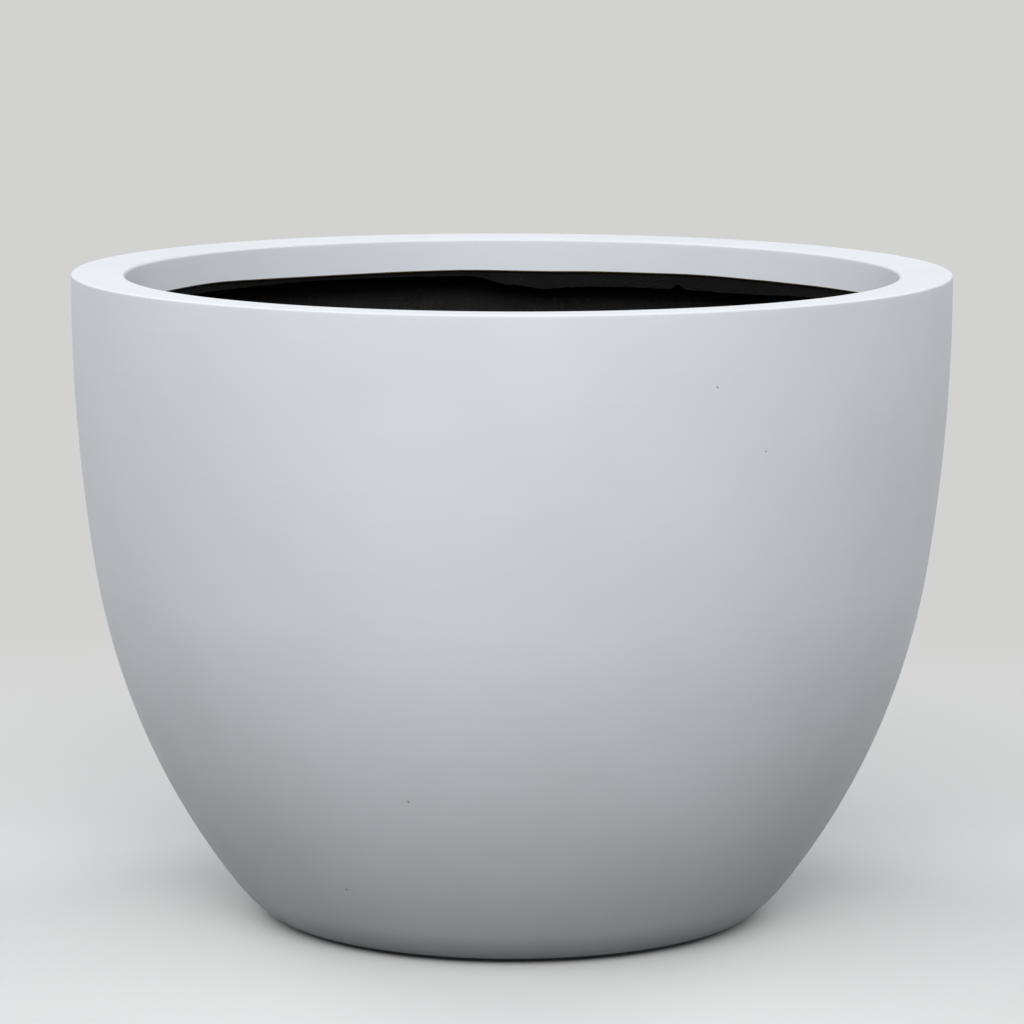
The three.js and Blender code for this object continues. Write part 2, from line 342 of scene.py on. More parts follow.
def only(piece):
    """Selects one object and makes it active, with everything else deselected."""
    bpy.ops.object.select_all(action="DESELECT")
    piece.select_set(True)
    bpy.context.view_layer.objects.active = piece


def turned(name, outline, turn_steps, closed=False):
    """A body of revolution: one vertex is extruded along the outline, which is then spun full circle.

    An open outline starts and ends on the axis; a closed one comes back to its first point."""
    bpy.ops.object.select_all(action="DESELECT")
    bpy.ops.mesh.primitive_plane_add(size=MM, location=(0.0, 0.0, 0.0))
    piece = bpy.context.object
    piece.name = piece.data.name = name
    bpy.ops.object.mode_set(mode="EDIT")
    bpy.ops.mesh.merge(type="CENTER")
    first = outline[0]
    bpy.ops.transform.translate(value=(first.x, 0.0, first.y))
    chain = [*outline, first] if closed else outline
    for here, there in zip(chain, chain[1:]):
        step = there - here
        bpy.ops.mesh.extrude_region_move(TRANSFORM_OT_translate={"value": (step.x, 0.0, step.y)})
    bpy.ops.mesh.select_all(action="SELECT")
    bpy.ops.mesh.spin(steps=turn_steps, angle=FULL_TURN, center=(0.0, 0.0, 0.0), axis=(0.0, 0.0, 1.0))
    bpy.ops.mesh.select_all(action="SELECT")
    bpy.ops.mesh.remove_doubles(threshold=WELD)
    bpy.ops.mesh.dissolve_degenerate(threshold=WELD)
    bpy.ops.mesh.normals_make_consistent(inside=False)
    bpy.ops.object.mode_set(mode="OBJECT")
    return piece


def smooth(piece):
    """Shades a piece smooth, but for its sharp edges."""
    only(piece)
    bpy.ops.object.shade_smooth_by_angle(angle=SHARP_EDGE)


def moved(piece, x, y):
    """Moves a piece sideways, with the move put into its mesh."""
    only(piece)
    bpy.ops.transform.translate(value=(x, y, 0.0))
    bpy.ops.object.transform_apply(location=True, rotation=False, scale=False)


def copied(piece, name, x, y):
    """A copy with a mesh of its own, moved sideways."""
    only(piece)
    bpy.ops.object.duplicate(linked=False)
    copy = bpy.context.object
    copy.name = copy.data.name = name
    moved(copy, x, y)
    return copy


def drilled(piece, places, radius, bottom, top, sides=FITTING_TURN):
    """Cuts upright holes through a piece at places, between two heights.

    Every drill after the first is added in the first one's edit mode, so that one cut makes all the
    holes."""
    bpy.ops.object.select_all(action="DESELECT")
    middle = (top + bottom) / 2.0
    for i, (x, y) in enumerate(places):
        size = {"vertices": sides, "radius": radius, "depth": top - bottom}
        bpy.ops.mesh.primitive_cylinder_add(location=(x, y, middle), **size)
        if i == 0:
            bpy.ops.object.mode_set(mode="EDIT")
    bpy.ops.object.mode_set(mode="OBJECT")
    drills = bpy.context.object
    only(piece)
    cut = piece.modifiers.new("holes", "BOOLEAN")
    cut.operation = "DIFFERENCE"
    cut.solver = "EXACT"
    cut.object = drills
    bpy.ops.object.modifier_apply(modifier=cut.name)
    bpy.data.objects.remove(drills)


def weighted(piece, name, weight_of):
    """A vertex group whose weights come from each vertex's place."""
    group = piece.vertex_groups.new(name=name)
    for vertex in piece.data.vertices:
        weight = weight_of(vertex.co)
        if weight > 0.0:
            group.add([vertex.index], min(weight, 1.0), "REPLACE")
    return group


def shifted(piece, group, axis, strength, grain=None, noise_depth=0):
    """Displaces a vertex group along an axis or the normals.

    It goes evenly or, with a grain size, by a pattern of clouds."""
    only(piece)
    shift = piece.modifiers.new("shift", "DISPLACE")
    shift.direction = axis
    shift.vertex_group = group.name
    shift.strength = strength
    shift.mid_level = 0.0
    if grain:
        clouds = bpy.data.textures.new("clouds", "CLOUDS")
        clouds.noise_scale = grain
        clouds.noise_depth = noise_depth
        shift.texture = clouds
        shift.texture_coords = "LOCAL"
        shift.mid_level = 0.5
    bpy.ops.object.modifier_apply(modifier=shift.name)


def finish_with(piece, slot, *materials):
    """Gives a piece its materials; the slot that they go by is not used."""
    piece.data.materials.clear()
    for material in materials:
        piece.data.materials.append(material)


def assigned(piece, material, chosen):
    """Gives a further material to the faces that are chosen by their place and direction."""
    piece.data.materials.append(material)
    only(piece)
    bpy.ops.object.mode_set(mode="EDIT")
    bpy.ops.mesh.select_mode(type="FACE")
    bpy.ops.mesh.select_all(action="DESELECT")
    bpy.ops.object.mode_set(mode="OBJECT")
    for face in piece.data.polygons:
        face.select = chosen(face)
    piece.active_material_index = len(piece.data.materials) - 1
    bpy.ops.object.mode_set(mode="EDIT")
    bpy.ops.object.material_slot_assign()
    bpy.ops.mesh.select_mode(type="VERT")
    bpy.ops.object.mode_set(mode="OBJECT")


def fitted(piece, body, slot, material, *nodes):
    """Gives a finished piece its finish and its body, in place of CAD nodes."""
    smooth(piece)
    finish_with(piece, slot, material)
    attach(piece, body)
    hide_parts(*nodes)


def set_out(pattern, name, nodes, body, slot, material, replaced):
    """Copies a pattern to the middles of CAD nodes, then drops it.

    The {} in the copies' name, their body and the nodes that they replace is the copy's number."""
    for i, node in enumerate(nodes, start=1):
        piece = copied(pattern, name.format(i), *place_of(node))
        fitted(piece, body.format(i), slot, material, replaced.format(i))
    bpy.data.objects.remove(pattern)


# ----------------------------------------------------------------------------------------------
# Materials
# ----------------------------------------------------------------------------------------------


def add_node(tree, kind, inputs=None, **settings):
    """Adds a node with its settings; an input is given a value or another node's output."""
    node = tree.nodes.new(kind)
    for name, value in settings.items():
        setattr(node, name, value)
    for name, value in (inputs or {}).items():
        if isinstance(value, bpy.types.NodeSocket):
            tree.links.new(value, node.inputs[name])
        else:
            node.inputs[name].default_value = value
    return node


# Sockets of a Mix node: its factor, then two inputs and the output for colours and for vectors.
FACTOR = 0
COLOUR_A, COLOUR_B, MIXED_COLOUR = 6, 7, 2
VECTOR_A, VECTOR_B, MIXED_VECTOR = 4, 5, 1


def new_material(name):
    """(material, node tree, Object coordinates, surface output) of a new material."""
    material = bpy.data.materials.new(name)
    material.use_nodes = True
    tree = material.node_tree
    tree.nodes.clear()
    coordinates = add_node(tree, "ShaderNodeTexCoord").outputs["Object"]
    output = add_node(tree, "ShaderNodeOutputMaterial")
    return material, tree, coordinates, output


def surfaced(tree, output, inputs):
    """Gives a material its surface: a Principled shader with these inputs."""
    shader = add_node(tree, "ShaderNodeBsdfPrincipled", inputs)
    tree.links.new(shader.outputs["BSDF"], output.inputs["Surface"])


def stretched(tree, coordinates, scale, turn=(0.0, 0.0, 0.0)):
    """Coordinates scaled, and turned, so that a pattern runs along one direction."""
    inputs = {"Vector": coordinates, "Scale": scale, "Rotation": turn}
    return add_node(tree, "ShaderNodeMapping", inputs).outputs["Vector"]


def noise(tree, coordinates, grain, detail=2.0, roughness=0.5):
    """Noise whose features are about one grain across, in metres."""
    inputs = {"Vector": coordinates, "Scale": 1.0 / grain, "Detail": detail, "Roughness": roughness}
    return add_node(tree, "ShaderNodeTexNoise", inputs).outputs["Fac"]


def ramp(tree, factor, low, high, from_value=0.0, to_value=1.0):
    """A factor stretched from low..high to other values, and held there."""
    inputs = {"Value": factor, "From Min": low, "From Max": high, "To Min": from_value, "To Max": to_value}
    return add_node(tree, "ShaderNodeMapRange", inputs).outputs["Result"]


def mixed(tree, factor, first, second):
    """Two colours mixed by a factor."""
    inputs = {FACTOR: factor, COLOUR_A: first, COLOUR_B: second}
    return add_node(tree, "ShaderNodeMix", inputs, data_type="RGBA").outputs[MIXED_COLOUR]


def maths(tree, operation, first, second):
    """One operation on two values."""
    return add_node(tree, "ShaderNodeMath", {0: first, 1: second}, operation=operation).outputs[0]


def bump(tree, height, depth, normal=None):
    """A bump whose height runs over a depth in metres."""
    inputs = {"Height": height, "Strength": 1.0, "Distance": depth}
    if normal:
        inputs["Normal"] = normal
    return add_node(tree, "ShaderNodeBump", inputs).outputs["Normal"]


# Grit that shows in the paint: (degrees from the front towards +X, height, radius) in millimetres.
SPECKS = (
    (-30.3, 71.7, 1.1),
    (-15.1, 167.2, 0.9),
    (-60.4, 25.2, 1.0),
    (25.4, 528.0, 0.8),
    (32.6, 470.7, 0.7),
)

# How far out a speck is solid, and where it has faded away, as shares of its radius.
SPECK_SOLID, SPECK_GONE = 0.6, 1.6


def speck_mask(tree, coordinates):
    """1 on each speck of grit and 0 elsewhere."""
    wall = wall_line(0.0, BOWL_BOTTOM, SHELL_TOP)
    mask = 0.0
    for degrees, height, radius in SPECKS:
        turn = math.radians(degrees)
        reach = radius_at(wall, height * MM)
        spot = (reach * math.sin(turn), -reach * math.cos(turn), height * MM)
        away = add_node(tree, "ShaderNodeVectorMath", {0: coordinates, 1: spot}, operation="DISTANCE")
        solid, gone = SPECK_SOLID * radius * MM, SPECK_GONE * radius * MM
        inside = ramp(tree, away.outputs["Value"], solid, gone, from_value=1.0, to_value=0.0)
        mask = maths(tree, "MAXIMUM", inside, mask)
    return mask


def satin_paint():
    """Two-pack polyurethane paint, sprayed over sanded laminate and left satin.

    It is an even cool white with a soft sheen. Sanding in rings leaves faint level bands, the laminate
    under it a slow waviness, and the spray a fine orange peel of 3 mm, drawn coarser than the real
    1 mm so that it shows."""
    colours = bpy.context.scene.planter_colours
    material, tree, coordinates, output = new_material("Satin polyurethane paint")
    soil = ramp(tree, noise(tree, coordinates, grain=140 * MM, detail=3.0), low=0.35, high=0.75)
    bands = noise(tree, stretched(tree, coordinates, (0.05, 0.05, 1.0)), grain=9 * MM)
    band_tint = ramp(tree, bands, low=0.4, high=0.7, to_value=0.15)
    tint = maths(tree, "MULTIPLY", maths(tree, "ADD", soil, band_tint), 0.45)
    coat = mixed(tree, tint, tuple(colours.paint), tuple(colours.paint_shade))
    grit = maths(tree, "MULTIPLY", speck_mask(tree, coordinates), 0.75)
    base = mixed(tree, grit, coat, tuple(colours.speck))
    waves = bump(tree, noise(tree, coordinates, grain=70 * MM, detail=1.0), depth=0.25 * MM)
    rings = bump(tree, bands, depth=0.005 * MM, normal=waves)
    peel = bump(tree, noise(tree, coordinates, grain=3 * MM, detail=1.0), depth=0.006 * MM, normal=rings)
    clouds = noise(tree, coordinates, grain=50 * MM)
    sheen = ramp(tree, clouds, low=0.3, high=0.7, from_value=0.48, to_value=0.56)
    surfaced(tree, output, {"Base Color": base, "Roughness": sheen, "IOR": 1.45, "Normal": peel})
    return material


def trimmed_laminate():
    """Bare glass-reinforced polyester where the lip was cut with a disc and sanded.

    It is the tan of old resin, dull, with paler strand ends 2 mm apart."""
    colours = bpy.context.scene.planter_colours
    material, tree, coordinates, output = new_material("Cut polyester laminate")
    strands = noise(tree, coordinates, grain=2 * MM, detail=3.0, roughness=0.6)
    pale = tuple(min(1.0, 1.5 * c) for c in colours.trimmed_edge[:3]) + (1.0,)
    ends = ramp(tree, strands, low=0.4, high=0.7)
    base = mixed(tree, ends, tuple(colours.trimmed_edge), pale)
    rough = bump(tree, strands, depth=0.15 * MM)
    surfaced(tree, output, {"Base Color": base, "Roughness": 0.8, "IOR": 1.53, "Normal": rough})
    return material


# The mat of chopped glass strands: a strand's width, and its width as a share of its length; the
# directions that strands lie in, and how far the first is turned; how far apart the pattern's slices
# for two directions lie.
STRAND_WIDTH = 1.7 * MM
STRAND_SLIMNESS = 0.045
STRAND_LAYERS = 7
FIRST_LAYER_TURN = 0.17
LAYER_SLICE = 0.1

# A mean radius of the wall, by which an angle round the bowl becomes a distance.
WALL_RADIUS = 330 * MM

# Heights above the core between which the floor's mat gives way to the wall's.
FLOOR_MAT_ENDS, WALL_MAT_BEGINS = 3 * MM, 8 * MM


def laid_out(tree, coordinates):
    """Coordinates along the laminate: distance round and height on the wall, X and Y on the floor."""
    split = add_node(tree, "ShaderNodeSeparateXYZ", {"Vector": coordinates}).outputs
    around = maths(tree, "MULTIPLY", maths(tree, "ARCTAN2", split["X"], split["Y"]), WALL_RADIUS)
    wall = add_node(tree, "ShaderNodeCombineXYZ", {"X": around, "Y": split["Z"]}).outputs["Vector"]
    floor = add_node(tree, "ShaderNodeCombineXYZ", {"X": split["X"], "Y": split["Y"]}).outputs["Vector"]
    climbing = ramp(tree, split["Z"], CORE_TOP + FLOOR_MAT_ENDS, CORE_TOP + WALL_MAT_BEGINS)
    inputs = {FACTOR: climbing, VECTOR_A: floor, VECTOR_B: wall}
    return add_node(tree, "ShaderNodeMix", inputs, data_type="VECTOR").outputs[MIXED_VECTOR]


def strand_mat(tree, coordinates):
    """Chopped glass strands about 40 mm long and 1.7 mm wide, lying all ways, as a height."""
    flat = laid_out(tree, coordinates)
    mat = 0.0
    for layer in range(STRAND_LAYERS):
        turn = (0.0, 0.0, math.pi * layer / STRAND_LAYERS + FIRST_LAYER_TURN)
        turned_flat = stretched(tree, flat, (1.0, 1.0, 1.0), turn)
        along = stretched(tree, turned_flat, (STRAND_SLIMNESS, 1.0, 1.0))
        slice_of = {0: along, 1: (0.0, 0.0, LAYER_SLICE * layer)}
        moved_on = add_node(tree, "ShaderNodeVectorMath", slice_of).outputs["Vector"]
        strands = noise(tree, moved_on, STRAND_WIDTH, detail=0.0)
        mat = maths(tree, "MAXIMUM", ramp(tree, strands, low=0.55, high=0.75), mat)
    return mat


def black_coating():
    """Black polyester flow coat, brushed over bare chopped-strand laminate.

    It is almost black and fairly dull, with a low IOR to keep its shine down. The strands of the mat
    stand up through it, and resin pools between them over 30 mm."""
    colours = bpy.context.scene.planter_colours
    material, tree, coordinates, output = new_material("Black flow coat")
    mat = strand_mat(tree, coordinates)
    pools = noise(tree, coordinates, grain=30 * MM, detail=3.0, roughness=0.6)
    worn = maths(tree, "MULTIPLY", mat, ramp(tree, pools, low=0.35, high=0.7))
    height = add_node(tree, "ShaderNodeSeparateXYZ", {"Vector": coordinates}).outputs["Z"]
    # Painted shade: above the top of the inner laminate the coat fades within 12 mm to a darker black. This
    # covers the bonding laminate under the rim and its hem below the lip.
    rim_painted_shade = ramp(tree, height, low=SKIN_TOP, high=SKIN_TOP + 12 * MM)
    once = mixed(tree, worn, tuple(colours.coating), tuple(colours.coating_worn))
    base = mixed(tree, rim_painted_shade, once, tuple(colours.coating_painted_shade_at_rim))
    lumps = bump(tree, pools, depth=1.2 * MM)
    fibres = bump(tree, mat, depth=0.25 * MM, normal=lumps)
    gloss = ramp(tree, pools, low=0.3, high=0.7, from_value=0.6, to_value=0.8)
    surfaced(tree, output, {"Base Color": base, "Roughness": gloss, "IOR": 1.22, "Normal": fibres})
    return material


def moulded_nylon():
    """Injection-moulded grey nylon with the fine spark-eroded texture of its mould, 1 mm across."""
    colours = bpy.context.scene.planter_colours
    material, tree, coordinates, output = new_material("Moulded nylon")
    base = tuple(colours.nylon)
    texture = bump(tree, noise(tree, coordinates, grain=1 * MM), depth=0.04 * MM)
    surfaced(tree, output, {"Base Color": base, "Roughness": 0.5, "IOR": 1.53, "Normal": texture})
    return material


def moulded_rubber():
    """Black vulcanised rubber: dull, with a pale bloom in patches 8 mm across and a fine grain."""
    colours = bpy.context.scene.planter_colours
    material, tree, coordinates, output = new_material("Vulcanised rubber")
    patches = noise(tree, coordinates, grain=8 * MM, detail=4.0, roughness=0.65)
    bloom = ramp(tree, patches, low=0.5, high=0.8, to_value=0.5)
    base = mixed(tree, bloom, tuple(colours.rubber), tuple(colours.rubber_dust))
    grain = bump(tree, noise(tree, coordinates, grain=0.8 * MM), depth=0.05 * MM)
    surfaced(tree, output, {"Base Color": base, "Roughness": 0.78, "IOR": 1.52, "Normal": grain})
    return material


def turned_steel():
    """Stainless steel screws, cold-headed and tumbled: bright, with fine scratches 0.5 mm apart."""
    colours = bpy.context.scene.planter_colours
    material, tree, coordinates, output = new_material("Stainless steel")
    scratches = noise(tree, coordinates, grain=0.5 * MM)
    gloss = ramp(tree, scratches, low=0.3, high=0.7, from_value=0.25, to_value=0.42)
    surfaced(tree, output, {"Base Color": tuple(colours.steel), "Metallic": 1.0, "Roughness": gloss})
    return material


def birch_plywood():
    """Birch plywood, sealed in the base: pale, with long grain 4 mm wide along X."""
    colours = bpy.context.scene.planter_colours
    material, tree, coordinates, output = new_material("Birch plywood")
    along = stretched(tree, coordinates, (0.08, 1.0, 1.0))
    grain = noise(tree, along, grain=4 * MM, detail=4.0, roughness=0.6)
    late_wood = ramp(tree, grain, low=0.35, high=0.7)
    base = mixed(tree, late_wood, tuple(colours.ply_light), tuple(colours.ply_dark))
    fibres = bump(tree, grain, depth=0.1 * MM)
    surfaced(tree, output, {"Base Color": base, "Roughness": 0.7, "IOR": 1.5, "Normal": fibres})
    return material


FINISHES = {}


def finish(recipe):
    """A material, made once by its recipe and then shared."""
    if recipe.__name__ not in FINISHES:
        FINISHES[recipe.__name__] = recipe()
    return FINISHES[recipe.__name__]


# ----------------------------------------------------------------------------------------------
# Pieces
# ----------------------------------------------------------------------------------------------


class AddBowl(bpy.types.Operator):
    """The bowl's outer laminate, with holes in its flat base for the drains and the feet's screws"""

    bl_idname = "planter.add_bowl"
    bl_label = "Add Bowl"

    def execute(self, context):
        bowl, fittings = context.scene.planter_bowl, context.scene.planter_fittings
        outside = wall_line(0.0, BOWL_BOTTOM, SHELL_TOP)
        inside = wall_line(bowl.shell_wall, CORE_BOTTOM, SHELL_TOP)
        outline = [*floor_line(outside[0].x, BOWL_BOTTOM), *outside]
        outline += [*reversed(inside), *reversed(floor_line(inside[0].x, CORE_BOTTOM))]
        piece = turned("bowl_moulding", outline, BOWL_TURN)
        drilled(piece, map(place_of, DRAINS), fittings.drain_hole(), -BOWL_BOTTOM, CORE_TOP)
        drilled(piece, map(place_of, FEET), fittings.screw_hole(), -BOWL_BOTTOM, CORE_TOP)
        fitted(piece, "planter", "white_paint", finish(satin_paint), "outer_shell")
        return {"FINISHED"}


class AddRim(bpy.types.Operator):
    """The flat rim with its turned-down lip, whose lower edge was trimmed by hand"""

    bl_idname = "planter.add_rim"
    bl_label = "Add Rim"

    top_parts = 6
    lip_parts = 8
    wave_grain = 90.0 * MM
    cut_bevels = 3.0
    facing_down = -0.3

    def execute(self, context):
        bowl, rim = context.scene.planter_bowl, context.scene.planter_rim
        slope = math.tan(rim.fall)
        top = BOWL_BOTTOM + bowl.height
        lip = bowl.rim_radius - rim.width
        foot = wall_line(0.0, BOWL_BOTTOM, SHELL_TOP)[-1]
        seat = wall_line(bowl.shell_wall, CORE_BOTTOM, SHELL_TOP)[-1]
        outer_edge = point(bowl.rim_radius, top)
        inner_edge = point(lip, top - rim.width * slope)
        lip_foot = point(lip, LIP_BOTTOM + rim.lip_bevel)
        lip_end = point(lip + rim.lip_bevel, LIP_BOTTOM)
        back = point(lip + rim.lip_wall, LIP_BOTTOM)
        under = point(back.x, SHELL_TOP - (seat.x - back.x) * slope)
        outer = round_corner(foot, outer_edge, inner_edge, rim.edge_round)
        inner = round_corner(outer_edge, inner_edge, lip_foot, rim.lip_round)
        outline = [foot, *outer, *divided(outer[-1], inner[0], self.top_parts), *inner]
        outline += [*divided(inner[-1], lip_foot, self.lip_parts), lip_foot, lip_end, back]
        outline += [*divided(back, under, self.lip_parts), under, seat]
        piece = turned("rim_moulding", outline, BOWL_TURN, closed=True)
        wave_top = inner_edge.y - rim.lip_round
        run = wave_top - LIP_BOTTOM

        def down_lip(co):
            """How far down the lip a vertex is, from 0 at its top to 1 at its trimmed edge."""
            return (wave_top - co.z) / run if math.hypot(co.x, co.y) < back.x + MM else 0.0

        shifted(piece, weighted(piece, "lip", down_lip), "Z", rim.lip_wave, self.wave_grain)
        fitted(piece, "planter", "white_paint", finish(satin_paint), "rim_ring")
        cut_below = LIP_BOTTOM + self.cut_bevels * rim.lip_bevel

        def was_cut(face):
            """Whether a face is on the lip's trimmed lower edge."""
            return face.normal.z < self.facing_down and face.center.z < cut_below

        assigned(piece, finish(trimmed_laminate), was_cut)
        return {"FINISHED"}


# How far the bonding laminate hangs below the lip: (degrees from the back towards +X, millimetres).
# It was trimmed unevenly and has one bite out of it.
HEM = (
    (-180.0, 5.0),
    (-120.0, 6.0),
    (-75.0, 9.0),
    (-52.0, 7.0),
    (-30.0, 5.0),
    (-7.0, 5.0),
    (0.0, 14.0),
    (5.0, 18.0),
    (9.0, 16.0),
    (14.0, 14.5),
    (26.2, 14.5),
    (26.8, 10.0),
    (27.8, 10.0),
    (28.4, 14.5),
    (36.0, 15.0),
    (60.0, 11.0),
    (100.0, 7.0),
    (180.0, 5.0),
)


def hem_at(x, y):
    """How far the hem hangs below the lip at a place, in metres."""
    degrees = math.degrees(math.atan2(x, y))
    for (low, depth), (high, next_depth) in zip(HEM, HEM[1:]):
        if degrees <= high:
            share = (degrees - low) / (high - low)
            eased_share = share * share * (3.0 - 2.0 * share)
            return (depth + (next_depth - depth) * eased_share) * MM
    return HEM[-1][1] * MM


class AddBondingLaminate(bpy.types.Operator):
    """The strip that bonds rim and bowl: down the wall, under the rim, and down behind the lip"""

    bl_idname = "planter.add_bonding_laminate"
    bl_label = "Add Bonding Laminate"

    top_parts = 6
    leg_parts = 10
    sound_below_lip = 2.0 * MM
    fray_grain = 6.0 * MM
    fray_noise_depth = 2

    def execute(self, context):
        bowl, rim = context.scene.planter_bowl, context.scene.planter_rim
        slope = math.tan(rim.fall)
        wall = rim.tape_wall
        outer = wall_line(bowl.shell_wall + FIT_GAP, TAPE_LOW, TAPE_HIGH)
        inner = wall_line(bowl.shell_wall + FIT_GAP + wall, TAPE_LOW, TAPE_HIGH - wall)
        lip_side = bowl.rim_radius - rim.width + rim.lip_wall + FIT_GAP
        fall = (outer[-1].x - lip_side) * slope
        outer_corner = point(lip_side, TAPE_HIGH - fall)
        outer_hem = point(lip_side, LIP_BOTTOM)
        inner_hem = point(lip_side + wall, LIP_BOTTOM)
        inner_corner = point(lip_side + wall, TAPE_HIGH - fall - wall)
        outline = [*outer, *divided(outer[-1], outer_corner, self.top_parts), outer_corner]
        outline += [*divided(outer_corner, outer_hem, self.leg_parts), outer_hem, inner_hem]
        outline += [*divided(inner_hem, inner_corner, self.leg_parts), inner_corner]
        outline += [*divided(inner_corner, inner[-1], self.top_parts), *reversed(inner)]
        piece = turned("bonding_laminate", outline, HEM_TURN, closed=True)
        leg_top = outer_corner.y - wall

        def hang(co):
            """How much of the deepest hang a vertex takes: more down the leg behind the lip, 0 off it."""
            if math.hypot(co.x, co.y) > lip_side + 1.5 * wall:
                return 0.0
            down = max(0.0, (leg_top - co.z) / (leg_top - LIP_BOTTOM))
            return down * hem_at(co.x, co.y) / rim.hem_depth

        def torn(co):
            """1 on the torn strip along the hem, 0 elsewhere."""
            behind_lip = math.hypot(co.x, co.y) < lip_side + 2 * wall
            return 1.0 if behind_lip and co.z < LIP_BOTTOM - self.sound_below_lip else 0.0

        shifted(piece, weighted(piece, "hang", hang), "Z", -rim.hem_depth)
        frayed = weighted(piece, "torn", torn)
        shifted(piece, frayed, "Z", rim.hem_fray, self.fray_grain, self.fray_noise_depth)
        fitted(piece, "planter", "black_coating", finish(black_coating), "rim_joint_tape")
        return {"FINISHED"}


class AddInnerLaminate(bpy.types.Operator):
    """The black-coated inner laminate, uneven to the touch, over the wall and the floor"""

    bl_idname = "planter.add_inner_laminate"
    bl_label = "Add Inner Laminate"

    unevenness = 0.8 * MM
    unevenness_grain = 35.0 * MM
    unevenness_noise_depth = 2
    cove_radius = 11.0 * MM
    cove_steps = 4
    mid_skin = 0.6
    smooth_round_drains = 32.0 * MM

    def execute(self, context):
        bowl, fittings = context.scene.planter_bowl, context.scene.planter_fittings
        depth = bowl.shell_wall + FIT_GAP
        floor_top = CORE_TOP + bowl.skin_wall
        outside = wall_line(depth, CORE_TOP, SKIN_TOP)
        inside = wall_line(depth + bowl.skin_wall, floor_top, SKIN_TOP)
        floor = floor_line(inside[0].x, floor_top)
        cove = round_corner(floor[-1], inside[0], inside[1], self.cove_radius, self.cove_steps)
        outline = [point(0.0, CORE_TOP), *outside, *reversed(inside[1:]), *reversed(cove), *reversed(floor)]
        piece = turned("inner_laminate", outline, BOWL_TURN)
        drilled(piece, map(place_of, DRAINS), fittings.drain_hole(), CORE_BOTTOM, floor_top + CORE_TOP)
        middle = wall_line(depth + bowl.skin_wall * self.mid_skin, CORE_TOP, SKIN_TOP)
        drains = [Vector(place_of(drain)) for drain in DRAINS]

        def on_face(co):
            """1 on the face that shows from inside, 0 on the hidden one and round the drains."""
            if not floor_top - WELD < co.z < SKIN_TOP - MM:
                return 0.0
            if co.xy.length > radius_at(middle, co.z):
                return 0.0
            return 1.0 if min((co.xy - drain).length for drain in drains) > self.smooth_round_drains else 0.0

        face = weighted(piece, "face", on_face)
        shifted(
            piece, face, "NORMAL", self.unevenness, self.unevenness_grain, self.unevenness_noise_depth
        )
        fitted(piece, "planter", "black_coating", finish(black_coating), "inner_skin")
        return {"FINISHED"}


class FinishCore(bpy.types.Operator):
    """The plywood core keeps its solid and gets its finish"""

    bl_idname = "planter.finish_core"
    bl_label = "Finish Core"

    def execute(self, context):
        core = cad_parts["base_board"]
        core.data.materials.clear()
        core.data.materials.append(finish(birch_plywood))
        return {"FINISHED"}


class AddDrains(bpy.types.Operator):
    """The flanged drain sleeves and their rubber plugs, modelled once and copied"""

    bl_idname = "planter.add_drains"
    bl_label = "Add Drains"

    def sleeve(self, fittings):
        """A sleeve through the base, with its flange on the inner floor."""
        bore, outer = fittings.drain_radius, fittings.drain_radius + fittings.bush_wall
        flange, seat = radius_of("drain_bush_1"), BUSH_HIGH - fittings.bush_flange
        corners = [
            (bore, BOWL_BOTTOM, 0.4 * MM),
            (outer, BOWL_BOTTOM, 0.4 * MM),
            (outer, seat, 0.0),
            (flange, seat, 0.3 * MM),
            (flange, BUSH_HIGH, 1.0 * MM),
            (bore, BUSH_HIGH, 0.8 * MM),
        ]
        return turned("drain_sleeve", eased(corners, SMALL_ROUND_STEPS), FITTING_TURN, closed=True)

    def plug(self, fittings):
        """A plug with a hollow stem, a flange that seats on the sleeve, and a knob on a neck."""
        hollow, hollow_top = fittings.plug_hollow_radius, PLUG_LOW + fittings.plug_hollow_depth
        stem = fittings.drain_radius - FIT_GAP
        flange, flange_top = fittings.plug_flange_radius, BUSH_HIGH + fittings.plug_flange
        neck, knob = fittings.knob_neck, fittings.knob_radius
        knob_low = PLUG_HIGH - knob
        corners = [
            (0.0, hollow_top, 0.0),
            (hollow, hollow_top, 1.5 * MM),
            (hollow, PLUG_LOW, 0.0),
            (stem, PLUG_LOW, 1.4 * MM),
            (stem, BUSH_HIGH, 0.0),
            (flange, BUSH_HIGH, 0.0),
            (flange, flange_top, 1.2 * MM),
            (neck, flange_top, 1.0 * MM),
            (neck, knob_low, 0.6 * MM),
            (knob, knob_low, 1.0 * MM),
            (knob, PLUG_HIGH, 2.2 * MM),
            (0.0, PLUG_HIGH, 0.0),
        ]
        return turned("rubber_plug", eased(corners, ROUND_STEPS), FITTING_TURN)

    def execute(self, context):
        fittings = context.scene.planter_fittings
        nylon, rubber = finish(moulded_nylon), finish(moulded_rubber)
        sleeve, plug = self.sleeve(fittings), self.plug(fittings)
        set_out(sleeve, "drain_sleeve_{}", DRAINS, "planter", "grey_plastic", nylon, "drain_bush_{}")
        set_out(plug, "rubber_plug_{}", DRAINS, "plug_{}", "black_rubber", rubber, "drain_plug_{}")
        return {"FINISHED"}


